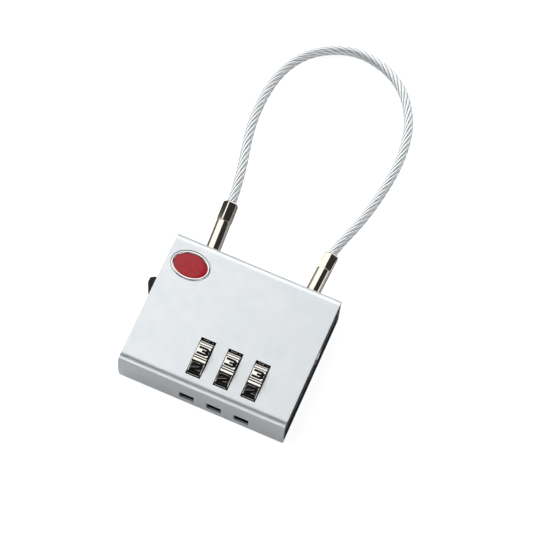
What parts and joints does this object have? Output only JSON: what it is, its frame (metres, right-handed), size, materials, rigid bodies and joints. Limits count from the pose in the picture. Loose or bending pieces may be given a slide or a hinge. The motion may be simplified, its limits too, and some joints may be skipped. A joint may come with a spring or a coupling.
{
  "type": "cable luggage lock",
  "caption": "Combination cable lock for luggage: flat metal casing with number wheels, side push-button, end key cylinder and a jacketed steel cable loop with crimped ferrules.",
  "frame": {"origin": "middle of the casing's flat back face", "axes": "+X to the key end, +Y towards the cable loop, +Z out of the front face; the lock lies on its back"},
  "size_m": [0.0482, 0.1117, 0.0165],
  "materials": {
    "aluminium": "matt silver anodised",
    "black": "satin moulded",
    "chassis": "plain die cast",
    "nickel": "polished nickel plate",
    "steel": "plain",
    "cable": "twisted strands in a clear jacket",
    "enamel": "gloss red enamel",
    "brass": "plain"
  },
  "bodies": {
    "case": {"casing": "aluminium", "left_end_cap": "black", "right_end_cap": "black", "chassis_back": "chassis", "chassis_front": "chassis", "chassis_screw_1": "steel", "chassis_screw_2": "steel", "dial_shaft": "steel", "detent_spring": "steel", "latch_spring": "steel", "fixed_ferrule": "nickel", "anchor_pin": "steel", "ejector_spring": "steel", "cable": "cable", "key_collar": "nickel", "badge_rim": "nickel", "badge_field": "enamel"},
    "left_dial": {"dial_1": "nickel", "dial_cam_1": "brass"},
    "middle_dial": {"dial_2": "nickel", "dial_cam_2": "brass"},
    "right_dial": {"dial_3": "nickel", "dial_cam_3": "brass"},
    "button": {"release_button": "black", "latch_slide": "steel"},
    "plug": {"plug_ferrule": "nickel"},
    "ejector": {"ejector": "steel"},
    "key": {"key_plug": "brass", "key_cam": "steel"}
  },
  "joints": [
    {"name": "left_dial_turn", "type": "hinge", "parent": "case", "child": "left_dial", "pos_m": [-0.00385, -0.0102, 0.00895], "axis": [1, 0, 0], "continuous": true},
    {"name": "middle_dial_turn", "type": "hinge", "parent": "case", "child": "middle_dial", "pos_m": [0.00375, -0.0102, 0.00895], "axis": [1, 0, 0], "continuous": true},
    {"name": "right_dial_turn", "type": "hinge", "parent": "case", "child": "right_dial", "pos_m": [0.01135, -0.0102, 0.00895], "axis": [1, 0, 0], "continuous": true},
    {"name": "button_press", "type": "slide", "parent": "case", "child": "button", "axis": [1, 0, 0], "range_m": [0, 0.0016], "stiffness_N_per_m": 800, "deforming": ["latch_spring"]},
    {"name": "plug_slide", "type": "slide", "parent": "case", "child": "plug", "axis": [-0.0593, 0.9982, 0], "range_m": [0, 0.013], "deforming": ["cable"]},
    {"name": "ejector_slide", "type": "slide", "parent": "case", "child": "ejector", "axis": [-0.0593, 0.9982, 0], "range_m": [0, 0.003], "deforming": ["ejector_spring"]},
    {"name": "key_turn", "type": "hinge", "parent": "case", "child": "key", "pos_m": [0.0227, 0.005, 0.0074], "axis": [1, 0, 0], "range_deg": [0, 90]}
  ],
  "couplings": [
    {"joint": "ejector_slide", "follows": "plug_slide", "ratio": 0.23}
  ]
}
